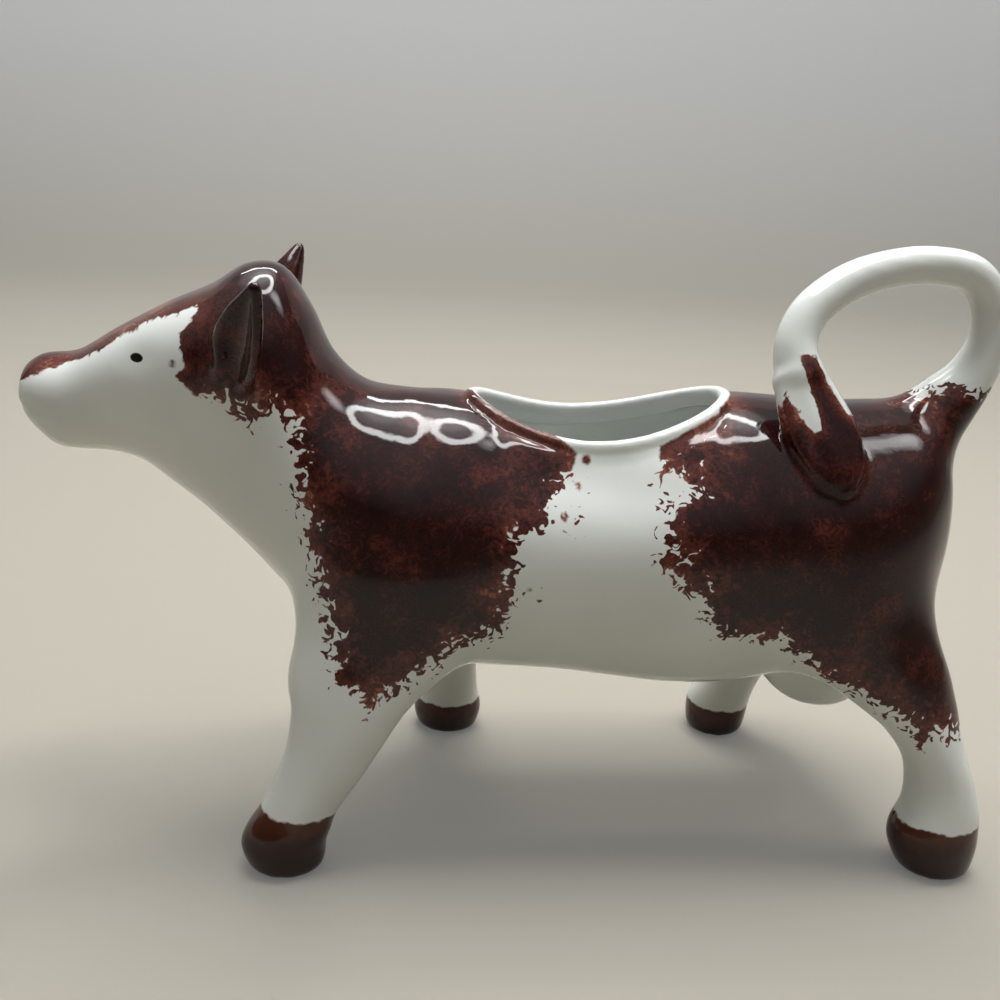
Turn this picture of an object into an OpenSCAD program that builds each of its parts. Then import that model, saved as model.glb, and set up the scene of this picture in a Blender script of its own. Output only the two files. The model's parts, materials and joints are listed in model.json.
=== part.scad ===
// Cow-shaped cream jug in glazed porcelain.
// The cow walks towards -X, +Z is up, and the floor under the hooves is z = 0.
// Cream goes in through the oval mouth in the back and pours out of the muzzle.
// The tail curls over into a finger loop, and its brush lies on the left flank.

/* [Body and head] */
// Height of the back over the floor
back_height = 81; // [77:0.5:85]
// Length of the trunk from the muzzle to the rump
trunk_length = 165; // [160:0.5:170]
// Greatest width of the body
trunk_width = 50; // [44:0.5:56]
// Thickness of the cast wall
wall = 2.6; // [1.8:0.1:3.4]
// Thickness of the lip round the pouring hole
spout_wall = 0.9; // [0.7:0.1:1.3]

/* [Filling mouth] */
// Length of the mouth in the back
mouth_length = 43; // [38:0.5:46]
// Width of the mouth in the back
mouth_width = 25.5; // [22:0.5:30]
// Distance from the muzzle to the middle of the mouth
mouth_place = 99; // [96:0.5:102]
// Radius of the rolled rim round the mouth
rim_radius = 1.1; // [0.9:0.1:1.5]

/* [Legs] */
// Depth under the back at which the legs end inside the body
leg_root_depth = 29; // [26:0.5:32]
// Distance of each hoof's middle from the middle plane
leg_spread = 24.5; // [21:0.5:26]
// Length of a hoof
hoof_length = 14.6; // [13:0.2:17]
// Width of a hoof
hoof_width = 12.8; // [11:0.2:14]
// Distance from the muzzle to the left front hoof
left_front_place = 46; // [43:0.5:49]
// Distance from the muzzle to the right front hoof
right_front_place = 75.5; // [72:0.5:79]
// Distance from the muzzle to the left hind hoof
left_hind_place = 163; // [160:0.5:166]
// Distance from the muzzle to the right hind hoof
right_hind_place = 135.5; // [132:0.5:139]

/* [Udder] */
// Length of the udder
udder_length = 24; // [20:0.5:27]
// Width of the udder
udder_width = 21; // [16:0.5:24]
// Clearance from the floor to the udder
udder_clearance = 21; // [18:0.5:24]
// Distance from the muzzle to the middle of the udder
udder_place = 145.5; // [142:0.5:149]

/* [Ears] */
// Length of an ear from root to tip
ear_length = 25; // [22:0.5:28]
// Width of an ear
ear_width = 9; // [7:0.2:10]
// Thickness of the ear's leaf
ear_thickness = 2.2; // [1.6:0.1:2.8]
// Depth of the hollow in the ear
ear_hollow = 1.3; // [0.8:0.1:1.6]
// Distance from one ear tip to the other
ear_span = 59; // [52:0.5:64]
// Distance from the muzzle to the ear roots
ear_place = 36; // [34.5:0.5:38.5]
// Height of the ear roots over the back
ear_root_rise = 1; // [-2:0.5:3]
// Distance from one ear root to the other
ear_root_span = 28; // [26:0.5:30]
// Distance that the ear tips lie behind their roots
ear_setback = 6; // [4:0.5:8]

/* [Tail] */
// Length of the tail loop along the cow, outside
loop_length = 44.5; // [40:0.5:47]
// Height of the tail loop over the back, outside
loop_rise = 28; // [25:0.5:32]
// Distance that the tail loop reaches behind the rump
loop_overhang = 7; // [5:0.5:9]
// Thickness of the tail in the plane of the loop
tail_thickness = 6.6; // [5.6:0.2:8]
// Width of the tail across the loop
tail_width = 7.4; // [6:0.2:9]
// Distance from the middle plane to the lower end of the tail
tail_offset = 10; // [8:0.5:12]
// Length of the brush
brush_length = 21; // [18:0.5:24]
// Width of the brush
brush_width = 13; // [11:0.2:15]
// Thickness of the brush
brush_thickness = 6.5; // [5:0.2:8]

/* [Hidden] */

porcelain = [0.93, 0.94, 0.92];
oxblood = [0.30, 0.12, 0.09];

// Points round a ring of the trunk, and rings to each row of its table
trunk_sides = 36;
trunk_steps = 2;
limb_sides = 16;
limb_steps = 2;
tail_sides = 14;
tail_steps = 3;
rim_sides = 8;
rim_steps = 48;
// Share of a row over which the tail's way is measured
tail_reach_share = 0.05;

overall_length = trunk_length + loop_overhang;
nose_x = -overall_length / 2;
leg_height = back_height - leg_root_depth;

// The trunk in rows from the muzzle to the rump, each one ring seen from the side.
// A row gives its top as shares of trunk_length and back_height, its bottom the same way, its half
// width as a share of half the trunk's width, and how far its widest part lies over its middle.
trunk_shares = [
    [0.000, 0.992, 0.000, 0.915, 0.17, 0.00],
    [0.005, 1.016, 0.006, 0.900, 0.25, 0.00],
    [0.021, 1.036, 0.017, 0.868, 0.30, 0.05],
    [0.055, 1.047, 0.037, 0.838, 0.34, 0.10],
    [0.097, 1.099, 0.088, 0.832, 0.42, 0.15],
    [0.147, 1.155, 0.120, 0.814, 0.52, 0.18],
    [0.192, 1.197, 0.150, 0.768, 0.59, 0.20],
    [0.229, 1.243, 0.181, 0.718, 0.64, 0.15],
    [0.265, 1.238, 0.211, 0.660, 0.66, 0.10],
    [0.293, 1.160, 0.235, 0.612, 0.69, 0.05],
    [0.317, 1.062, 0.263, 0.554, 0.75, 0.00],
    [0.354, 0.998, 0.302, 0.474, 0.87, 0.00],
    [0.405, 0.988, 0.368, 0.402, 0.97, 0.00],
    [0.455, 0.982, 0.443, 0.372, 1.00, 0.00],
    [0.508, 0.970, 0.508, 0.366, 1.00, 0.00],
    [0.568, 0.966, 0.568, 0.360, 1.00, 0.00],
    [0.629, 0.978, 0.629, 0.344, 1.00, 0.00],
    [0.689, 0.994, 0.689, 0.330, 1.00, 0.00],
    [0.750, 1.004, 0.750, 0.332, 1.00, 0.00],
    [0.810, 1.000, 0.810, 0.356, 1.00, 0.00],
    [0.871, 0.996, 0.871, 0.386, 0.97, 0.00],
    [0.929, 1.000, 0.929, 0.428, 0.84, 0.00],
    [0.968, 0.974, 0.968, 0.476, 0.62, 0.00],
    [0.990, 0.915, 0.990, 0.534, 0.38, 0.00],
    [1.000, 0.830, 1.000, 0.620, 0.14, 0.00]
];
// Rows of the trunk's table at which the lip has its full wall and the head is joined to the body
lip_row = 3;
neck_row = 10;
last_row = len(trunk_shares) - 1;

// Legs in rows from the sole up. A row gives its height as a share of leg_height, its middle's step
// along the cow as a share of leg_height, its distance from the middle plane as a share of
// leg_spread, and its half length and half width as shares of half a hoof's.
left_front_shares = [
    [0.00, 0.010, 1.00, 0.80, 0.80],
    [0.03, 0.005, 1.00, 0.94, 0.93],
    [0.09, 0.000, 1.00, 1.01, 1.01],
    [0.15, 0.020, 1.00, 0.99, 1.00],
    [0.21, 0.050, 0.98, 0.93, 0.95],
    [0.31, 0.108, 0.94, 1.00, 0.99],
    [0.42, 0.160, 0.90, 1.12, 1.05],
    [0.54, 0.205, 0.85, 1.34, 1.13],
    [0.69, 0.262, 0.77, 1.80, 1.22],
    [1.00, 0.380, 0.63, 2.00, 1.22]
];
right_front_shares = [
    [0.00, 0.003, 1.00, 0.78, 0.80],
    [0.03, 0.000, 1.00, 0.92, 0.93],
    [0.09, 0.000, 1.00, 0.99, 1.00],
    [0.15, 0.002, 1.00, 0.88, 0.95],
    [0.21, 0.005, 0.98, 0.80, 0.88],
    [0.31, 0.000, 0.94, 0.80, 0.90],
    [0.42, -0.005, 0.90, 0.86, 0.98],
    [0.54, -0.030, 0.85, 1.00, 1.08],
    [0.69, -0.080, 0.77, 1.35, 1.20],
    [1.00, -0.150, 0.63, 1.75, 1.22]
];
left_hind_shares = [
    [0.00, 0.022, 1.00, 0.82, 0.82],
    [0.03, 0.015, 1.00, 0.96, 0.94],
    [0.10, 0.003, 1.00, 1.10, 1.02],
    [0.16, 0.000, 1.00, 1.09, 1.02],
    [0.24, 0.012, 0.98, 0.95, 0.96],
    [0.33, 0.000, 0.95, 0.84, 0.93],
    [0.42, -0.032, 0.92, 0.80, 0.95],
    [0.52, -0.088, 0.87, 0.98, 1.03],
    [0.62, -0.165, 0.82, 1.36, 1.12],
    [0.77, -0.270, 0.75, 1.72, 1.20],
    [0.90, -0.360, 0.66, 1.70, 1.10],
    [1.00, -0.430, 0.58, 1.55, 0.95]
];
right_hind_shares = [
    [0.00, 0.000, 1.00, 0.74, 0.80],
    [0.03, 0.000, 1.00, 0.86, 0.93],
    [0.10, 0.002, 1.00, 0.92, 1.00],
    [0.16, 0.012, 1.00, 0.91, 1.00],
    [0.24, 0.040, 0.98, 0.85, 0.94],
    [0.33, 0.080, 0.95, 0.82, 0.92],
    [0.42, 0.135, 0.92, 0.85, 0.95],
    [0.52, 0.190, 0.87, 0.97, 1.03],
    [0.62, 0.228, 0.82, 1.24, 1.12],
    [0.77, 0.220, 0.75, 1.62, 1.20],
    [1.00, 0.110, 0.60, 1.65, 1.00]
];

// The udder in rows from its lowest point up: height share, step share, half size share
udder_shares = [
    [0.00, 0.06, 0.30],
    [0.07, 0.05, 0.58],
    [0.25, 0.03, 0.84],
    [0.55, 0.00, 0.98],
    [1.00, 0.00, 1.00]
];

// An ear in rows from root to tip: length share, width share
ear_shares = [
    [0.00, 0.42],
    [0.12, 0.74],
    [0.32, 0.98],
    [0.52, 0.98],
    [0.72, 0.76],
    [0.90, 0.44],
    [1.00, 0.16]
];

// The tail's middle line from inside the rump to the brush: share of the loop's length from its
// rear, share of tail_offset to the left, share of the height over the back, and size share
tail_shares = [
    [0.36, 0.00, -0.44, 2.10],
    [0.20, 0.00, -0.08, 1.85],
    [0.06, 0.00, 0.21, 1.30],
    [0.00, 0.00, 0.50, 1.04],
    [0.03, 0.00, 0.76, 1.00],
    [0.14, 0.00, 0.95, 1.00],
    [0.32, 0.00, 1.00, 1.00],
    [0.52, 0.06, 0.97, 1.00],
    [0.73, 0.20, 0.87, 1.00],
    [0.91, 0.42, 0.68, 1.00],
    [0.99, 0.66, 0.46, 1.03],
    [0.98, 0.94, 0.24, 1.16]
];
// The brush in rows from the tail to its tip: share of brush_length, width share, thickness share
brush_shares = [
    [0.00, 0.70, 1.04],
    [0.20, 0.86, 1.00],
    [0.45, 1.00, 0.94],
    [0.70, 0.96, 0.84],
    [0.90, 0.70, 0.64],
    [1.00, 0.30, 0.34]
];
// Way the brush runs from the end of the tail, and the way its flat face looks, as shares of one
brush_way_shares = [0.33, -0.52, -0.79];
brush_face_shares = [0.00, -0.70, 0.60];
// Way the hollow of the left ear looks
ear_face_shares = [-0.40, -0.90, 0.00];

// Curve that runs smoothly through the rows of a table, with t counted in rows
function row(table, i) = table[max(0, min(len(table) - 1, i))];
function curve(table, t) =
    let (i = max(0, min(floor(t), len(table) - 2)), u = t - i)
    let (a = row(table, i - 1), b = row(table, i), c = row(table, i + 1), d = row(table, i + 2))
    b + (u * (c - a) + u * u * (2 * a - 5 * b + 4 * c - d) + u * u * u * (3 * (b - c) + d - a)) / 2;
function turns(sides) = [for (k = [0:sides - 1]) 360 * k / sides];
function unit(v) = v / norm(v);

// Wall at t rows from the muzzle, thinner towards the lip of the pouring hole
function wall_at(t) = spout_wall + (wall - spout_wall) * min(1, t / lip_row);

// A ring of the trunk at t rows from the muzzle, drawn in by a depth from the outer face
function trunk_ring(t, depth) =
    let (s = curve(trunk_shares, t))
    let (top = [nose_x + s[0] * trunk_length, s[1] * back_height])
    let (low = [nose_x + s[2] * trunk_length, s[3] * back_height])
    let (middle = (top + low) / 2, half = norm(top - low) / 2 - depth, way = unit(top - low))
    let (across = s[4] * trunk_width / 2 - depth)
    [for (a = turns(trunk_sides))
        let (rise = half * (sin(a) + s[5] * cos(a) * cos(a)))
        [middle[0] + way[0] * rise, across * cos(a), middle[1] + way[1] * rise]];
function outer_rings(from, to) =
    [for (k = [0:(from - to) * trunk_steps]) trunk_ring(from - k / trunk_steps, 0)];
function inner_rings(from, to) =
    [for (k = [0:(to - from) * trunk_steps]) let (t = from + k / trunk_steps) trunk_ring(t, wall_at(t))];

// Skin over rings of equal count, closed by a flat face at each end or joined end to end
module skin(rings, ring_closed = false) {
    sides = len(rings[0]);
    last = len(rings) - 1;
    spans = ring_closed ? last : last - 1;
    polyhedron(
        points = [for (ring = rings) each ring],
        faces = concat(
            [for (r = [0:spans], k = [0:sides - 1])
                let (next = (r + 1) % len(rings), side = (k + 1) % sides)
                [r * sides + k, r * sides + side, next * sides + side]],
            [for (r = [0:spans], k = [0:sides - 1])
                let (next = (r + 1) % len(rings), side = (k + 1) % sides)
                [r * sides + k, next * sides + side, next * sides + k]],
            ring_closed ? [] : [[for (k = [sides - 1:-1:0]) k], [for (k = [0:sides - 1]) last * sides + k]]
        )
    );
}

module trunk_solid() {
    skin(outer_rings(last_row, 0));
}

// Row of the trunk whose top lies at x, found by halving the span of rows
function row_at(x, from = neck_row, to = last_row, tries = 14) =
    let (middle = (from + to) / 2)
    tries == 0 ? middle
        : nose_x + curve(trunk_shares, middle)[0] * trunk_length < x
        ? row_at(x, middle, to, tries - 1)
        : row_at(x, from, middle, tries - 1);
// Height of the back at x and y
function back_at(x, y) =
    let (s = curve(trunk_shares, row_at(x)), slant = acos(y / (s[4] * trunk_width / 2)))
    (s[1] + s[3]) / 2 * back_height + (s[1] - s[3]) / 2 * back_height * sin(slant);

// Point of the mouth's edge, with the edge moved outwards by a gap
function mouth_point(a, gap) =
    let (x = nose_x + mouth_place + (mouth_length / 2 + gap) * cos(a), y = (mouth_width / 2 + gap) * sin(a))
    [x, y, back_at(x, y)];

// Ring of a round or oval bar about a point, square to its way
function bar_ring(point, way, side, half_side, half_face) =
    let (along = unit(way), across = unit(side - along * (side * along)), face = cross(along, across))
    [for (a = turns(tail_sides)) point + across * half_side * cos(a) + face * half_face * sin(a)];

module rolled_rim() {
    skin([
        for (a = turns(rim_steps))
            let (point = mouth_point(a, rim_radius), next = mouth_point(a + 1, rim_radius))
            let (along = unit(next - point), across = unit(cross(along, [0, 0, 1])), face = cross(across, along))
            [for (b = turns(rim_sides)) point + (across * cos(b) + face * sin(b)) * rim_radius]
    ], ring_closed = true);
}

module body_shell() {
    color(porcelain)
    union() {
        difference() {
            skin(concat(outer_rings(last_row, neck_row), inner_rings(neck_row, last_row - 1)));
            translate([nose_x + mouth_place, 0, back_height / 2])
                linear_extrude(back_height)
                scale([mouth_length + rim_radius, mouth_width + rim_radius])
                circle(d = 1, $fn = rim_steps);
        }
        rolled_rim();
    }
}

module head_shell() {
    color(porcelain)
    skin(concat(outer_rings(neck_row, 0), inner_rings(0, neck_row)), ring_closed = true);
}

// A leg on the side of the middle plane given by -1 or 1
module leg(shares, place, side) {
    color(porcelain)
    difference() {
        skin([
            for (k = [(len(shares) - 1) * limb_steps:-1:0])
                let (s = curve(shares, k / limb_steps))
                [for (a = turns(limb_sides)) [
                    nose_x + place + s[1] * leg_height + s[3] * hoof_length / 2 * cos(a),
                    side * s[2] * leg_spread + s[4] * hoof_width / 2 * sin(a),
                    s[0] * leg_height]]
        ]);
        trunk_solid();
    }
}

module left_front_leg() {
    leg(left_front_shares, left_front_place, -1);
}

module right_front_leg() {
    leg(right_front_shares, right_front_place, 1);
}

module left_hind_leg() {
    leg(left_hind_shares, left_hind_place, -1);
}

module right_hind_leg() {
    leg(right_hind_shares, right_hind_place, 1);
}

module udder() {
    drop = back_height / 2 - udder_clearance;
    color(porcelain)
    difference() {
        skin([
            for (k = [(len(udder_shares) - 1) * limb_steps:-1:0])
                let (s = curve(udder_shares, k / limb_steps))
                [for (a = turns(limb_sides)) [
                    nose_x + udder_place + s[1] * udder_length + s[2] * udder_length / 2 * cos(a),
                    s[2] * udder_width / 2 * sin(a),
                    udder_clearance + s[0] * drop]]
        ]);
        trunk_solid();
    }
}

module ear() {
    out = (ear_span - ear_root_span) / 2;
    rise = sqrt(ear_length * ear_length - out * out - ear_setback * ear_setback);
    root = [nose_x + ear_place, -ear_root_span / 2, back_height + ear_root_rise];
    way = unit([ear_setback, -out, rise]);
    face = unit(ear_face_shares - way * (ear_face_shares * way));
    across = cross(way, face);
    color(oxblood)
    difference() {
        skin([
            for (k = [0:(len(ear_shares) - 1) * limb_steps])
                let (s = curve(ear_shares, k / limb_steps))
                [for (a = turns(limb_sides))
                    root + way * s[0] * ear_length + across * s[1] * ear_width / 2 * cos(a)
                        + face * (s[1] * ear_thickness / 2 * sin(a) + s[1] * ear_hollow * cos(a) * cos(a))]
        ]);
        trunk_solid();
    }
}

module left_ear() {
    ear();
}

module right_ear() {
    mirror([0, 1, 0])
        ear();
}

// Point of the tail's middle line at t rows from its root
function tail_point(t) =
    let (s = curve(tail_shares, t))
    [
        overall_length / 2 - tail_thickness / 2 - s[0] * (loop_length - tail_thickness),
        -s[1] * tail_offset,
        back_height + s[2] * (loop_rise - tail_thickness / 2)
    ];

module tail_handle() {
    last = len(tail_shares) - 1;
    color(porcelain)
    difference() {
        skin([
            for (k = [last * tail_steps:-1:0])
                let (t = k / tail_steps, size = curve(tail_shares, t)[3] / 2)
                let (way = t < last ? tail_point(t + tail_reach_share) - tail_point(t) : brush_way_shares)
                bar_ring(tail_point(t), way, [0, 1, 0], size * tail_width, size * tail_thickness)
        ]);
        trunk_solid();
    }
}

module tail_brush() {
    root = tail_point(len(tail_shares) - 1);
    color(oxblood)
    difference() {
        skin([
            for (k = [(len(brush_shares) - 1) * tail_steps:-1:0])
                let (s = curve(brush_shares, k / tail_steps))
                bar_ring(root + unit(brush_way_shares) * s[0] * brush_length, brush_way_shares,
                    cross(brush_way_shares, brush_face_shares), s[1] * brush_width / 2, s[2] * brush_thickness / 2)
        ]);
        trunk_solid();
    }
}

body_shell();
head_shell();
left_front_leg();
right_front_leg();
left_hind_leg();
right_hind_leg();
udder();
left_ear();
right_ear();
tail_handle();
tail_brush();
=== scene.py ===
# Cow-shaped cream jug: slip-cast porcelain, painted in oxblood brown with a sponge and glazed clear.
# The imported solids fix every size. This script melts them into the soft forms of the fired pot,
# lays the painting on them, and sets up the floor, the lamps and the camera.
import json
import math

import bmesh
import bpy
import numpy as np
from mathutils import Matrix, Vector
from mathutils.bvhtree import BVHTree

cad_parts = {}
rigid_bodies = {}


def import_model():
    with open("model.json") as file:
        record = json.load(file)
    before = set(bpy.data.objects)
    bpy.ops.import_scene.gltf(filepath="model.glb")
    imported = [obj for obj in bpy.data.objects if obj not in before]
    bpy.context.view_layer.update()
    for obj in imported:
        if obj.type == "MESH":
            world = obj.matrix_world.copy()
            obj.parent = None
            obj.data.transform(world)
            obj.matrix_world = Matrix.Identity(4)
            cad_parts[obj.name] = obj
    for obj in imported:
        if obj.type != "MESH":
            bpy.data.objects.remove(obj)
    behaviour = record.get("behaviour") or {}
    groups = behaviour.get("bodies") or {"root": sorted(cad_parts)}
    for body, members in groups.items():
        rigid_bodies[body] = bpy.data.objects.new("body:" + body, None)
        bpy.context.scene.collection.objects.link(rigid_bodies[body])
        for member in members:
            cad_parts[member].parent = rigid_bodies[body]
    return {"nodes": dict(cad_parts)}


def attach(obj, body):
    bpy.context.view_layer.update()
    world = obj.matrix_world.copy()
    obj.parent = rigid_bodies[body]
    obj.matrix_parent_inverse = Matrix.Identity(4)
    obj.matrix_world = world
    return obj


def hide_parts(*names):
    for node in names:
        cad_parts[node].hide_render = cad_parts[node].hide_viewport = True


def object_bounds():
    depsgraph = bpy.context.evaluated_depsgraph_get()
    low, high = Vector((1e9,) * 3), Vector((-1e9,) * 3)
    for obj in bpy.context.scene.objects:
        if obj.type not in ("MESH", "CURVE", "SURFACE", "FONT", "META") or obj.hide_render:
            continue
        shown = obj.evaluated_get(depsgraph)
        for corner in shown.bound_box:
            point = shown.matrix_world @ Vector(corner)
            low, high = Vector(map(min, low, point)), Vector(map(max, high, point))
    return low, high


for thing in list(bpy.data.objects):
    bpy.data.objects.remove(thing)
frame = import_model()
cadLow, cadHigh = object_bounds()
mm = 0.001
noseX = cadLow.x / mm  # the forms below are in millimetres, measured as the solids are
shells = ("head_shell", "body_shell")
print("Frame loaded:", len(frame["nodes"]), "nodes")


# Smooth curve through the rows of a table, with t counted in rows
def curveThrough(rows, t):
    rows = np.array(rows, float)
    t = np.asarray(t, float)
    i = np.clip(np.floor(t).astype(int), 0, len(rows) - 2)
    u = (t - i)[:, None]
    a, b = rows[np.maximum(i - 1, 0)], rows[i]
    c, d = rows[i + 1], rows[np.minimum(i + 2, len(rows) - 1)]
    bend = 2 * a - 5 * b + 4 * c - d
    return b + (u * (c - a) + u * u * bend + u**3 * (3 * (b - c) + d - a)) / 2


# A count of points spread evenly along that curve
def curveOver(rows, count):
    return curveThrough(rows, np.linspace(0, len(rows) - 1, count))


def unit(v):
    v = np.asarray(v, float)
    return v / np.linalg.norm(v, axis=-1, keepdims=True)


def turns(sides):
    return np.arange(sides) * 2 * math.pi / sides


# Points and faces of a closed skin over rings of equal count
def skinOver(rings):
    count, sides = rings.shape[:2]
    r, k = np.meshgrid(np.arange(count - 1), np.arange(sides), indexing="ij")
    here, beyond = r.ravel() * sides, (r.ravel() + 1) * sides
    k = k.ravel()
    onward = (k + 1) % sides
    faces = np.stack([here + k, here + onward, beyond + onward, beyond + k], 1).tolist()
    faces.append(list(range(sides))[::-1])
    faces.append([(count - 1) * sides + j for j in range(sides)])
    return rings.reshape(-1, 3), faces


# Rings with their open ends rounded over, each as far out as a share of the end's size
def domed(rings, ends, steps=9):
    for share, end, onward in zip(ends, (0, -1), (1, -2)):
        if share:
            middle = rings[end].mean(0)
            out = unit(middle - rings[onward].mean(0))
            size = np.linalg.norm(rings[end] - middle, axis=1).mean() * share
            lift = np.linspace(0, math.pi / 2, steps)[1:-1]
            off = rings[end] - middle
            cap = [middle + off * math.cos(a) + out * size * math.sin(a) for a in lift]
            rings = np.concatenate([cap[::-1], rings] if end == 0 else [rings, cap])
    return rings


# Trunk, head and neck in one run of rings, from the muzzle to the rump. A row holds the top and the
# bottom as shares of length and height, the half width as a share, and how high its widest part lies.
# Ends are how far the first and the last ring are rounded over, as shares of their size. The hollow
# stops rearRows short of the last row, and its wall deepens by slantGain for each row of the slant.
trunk = {
    "length": 165,
    "height": 81,
    "width": 50,
    "wall": 2.6,
    "lipWall": 0.9,
    "lipRow": 3,
    "rearRows": 1.5,
    "slantRows": 2.6,
    "slantGain": 0.65,
    "backingRows": 0.1,
    "backingDepth": 0.3,
    "ends": (0, 0.1),
    "hollowEnds": (0, 0.04),
    "lead": (6, 0, 6),  # carries the hollow on through the pouring hole
    "neckRow": 10,
    "sides": 240,
    "stepsPerRow": 16,
    "rows": [
        [0.000, 0.992, 0.000, 0.915, 0.17, 0.00],
        [0.005, 1.016, 0.006, 0.900, 0.25, 0.00],
        [0.021, 1.036, 0.017, 0.868, 0.30, 0.05],
        [0.055, 1.047, 0.037, 0.838, 0.34, 0.10],
        [0.097, 1.099, 0.088, 0.832, 0.42, 0.15],
        [0.147, 1.155, 0.120, 0.814, 0.52, 0.18],
        [0.192, 1.197, 0.150, 0.768, 0.59, 0.20],
        [0.229, 1.243, 0.181, 0.718, 0.64, 0.15],
        [0.265, 1.238, 0.211, 0.660, 0.66, 0.10],
        [0.293, 1.160, 0.235, 0.612, 0.69, 0.05],
        [0.317, 1.062, 0.263, 0.554, 0.75, 0.00],
        [0.354, 0.998, 0.302, 0.474, 0.87, 0.00],
        [0.405, 0.988, 0.368, 0.402, 0.97, 0.00],
        [0.455, 0.982, 0.443, 0.372, 1.00, 0.00],
        [0.508, 0.970, 0.508, 0.366, 1.00, 0.00],
        [0.568, 0.966, 0.568, 0.360, 1.00, 0.00],
        [0.629, 0.978, 0.629, 0.344, 1.00, 0.00],
        [0.689, 0.994, 0.689, 0.330, 1.00, 0.00],
        [0.750, 1.004, 0.750, 0.332, 1.00, 0.00],
        [0.810, 1.000, 0.810, 0.356, 1.00, 0.00],
        [0.871, 0.996, 0.871, 0.386, 0.97, 0.00],
        [0.929, 1.000, 0.929, 0.428, 0.84, 0.00],
        [0.968, 0.974, 0.968, 0.476, 0.62, 0.00],
        [0.990, 0.915, 0.990, 0.534, 0.38, 0.00],
        [1.000, 0.830, 1.000, 0.620, 0.14, 0.00],
    ],
}

mouth = {"length": 43, "width": 25.5, "place": 99, "rimRadius": 1.1, "sides": 20, "steps": 160}


# Top and bottom of the trunk for rows of its table, each as x and z
def trunkEnds(s):
    spots = s[..., :4].reshape(*s.shape[:-1], 2, 2) * [trunk["length"], trunk["height"]] + [noseX, 0]
    return spots[..., 0, :], spots[..., 1, :]


# Rings of the trunk, drawn in from its outer face by a depth
def trunkRings(t, depth):
    depth = np.broadcast_to(depth, np.shape(t))[:, None]
    s = curveThrough(trunk["rows"], t)
    top, low = trunkEnds(s)
    a = turns(trunk["sides"])
    half = np.linalg.norm(top - low, axis=1)[:, None] / 2 - depth
    rise = half * (np.sin(a) + s[:, 5:6] * np.cos(a) ** 2)
    middle, way = (top + low) / 2, unit(top - low)
    across = (s[:, 4:5] * trunk["width"] / 2 - depth) * np.cos(a)
    x = middle[:, 0:1] + way[:, 0:1] * rise
    z = middle[:, 1:2] + way[:, 1:2] * rise
    return np.stack([x, across, z], 2)


# Height of the back over a point of the plan
def backHeight(x, y, steps=400):
    t = np.linspace(trunk["neckRow"], len(trunk["rows"]) - 1, steps)
    s = curveThrough(trunk["rows"], t)
    along = noseX + s[:, 0] * trunk["length"]
    top = np.interp(x, along, s[:, 1]) * trunk["height"]
    low = np.interp(x, along, s[:, 3]) * trunk["height"]
    half = np.interp(x, along, s[:, 4]) * trunk["width"] / 2
    return (top + low) / 2 + (top - low) / 2 * np.sqrt(np.clip(1 - (y / half) ** 2, 0, 1))


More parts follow.
